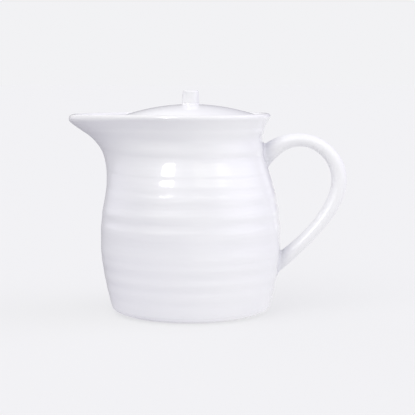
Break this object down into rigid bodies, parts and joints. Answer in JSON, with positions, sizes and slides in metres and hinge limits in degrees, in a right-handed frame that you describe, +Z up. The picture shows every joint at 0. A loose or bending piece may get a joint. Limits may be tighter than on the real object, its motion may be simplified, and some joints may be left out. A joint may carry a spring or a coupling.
{
  "type": "hot beverage server",
  "caption": "Glazed ceramic jug for hot drinks, with a pulled pouring lip, an ear handle, shallow throwing rings and a drop-in domed lid that lifts off by a small knob.",
  "frame": {"origin": "on the table under the jug, midway between the tip of the lip and the back of the handle; the jug's own axis stands 13.1 mm towards the lip from it", "axes": "+X towards the handle, the lip towards -X, +Z up"},
  "size_m": [0.2088, 0.1354, 0.1676],
  "materials": {
    "jug_glaze": "white gloss glaze over white clay, bare on the foot ring",
    "handle_glaze": "white gloss glaze over white clay",
    "lid_glaze": "white gloss glaze over white clay, bare on the seat",
    "knob_glaze": "white gloss glaze over white clay"
  },
  "bodies": {
    "jug": {"jug_body": "jug_glaze", "handle": "handle_glaze"},
    "lid_assembly": {"lid": "lid_glaze", "lid_knob": "knob_glaze"}
  },
  "joints": [
    {"name": "lid_lift", "type": "slide", "parent": "jug", "child": "lid_assembly", "axis": [0, 0, 1], "range_m": [0, 0.06]}
  ]
}
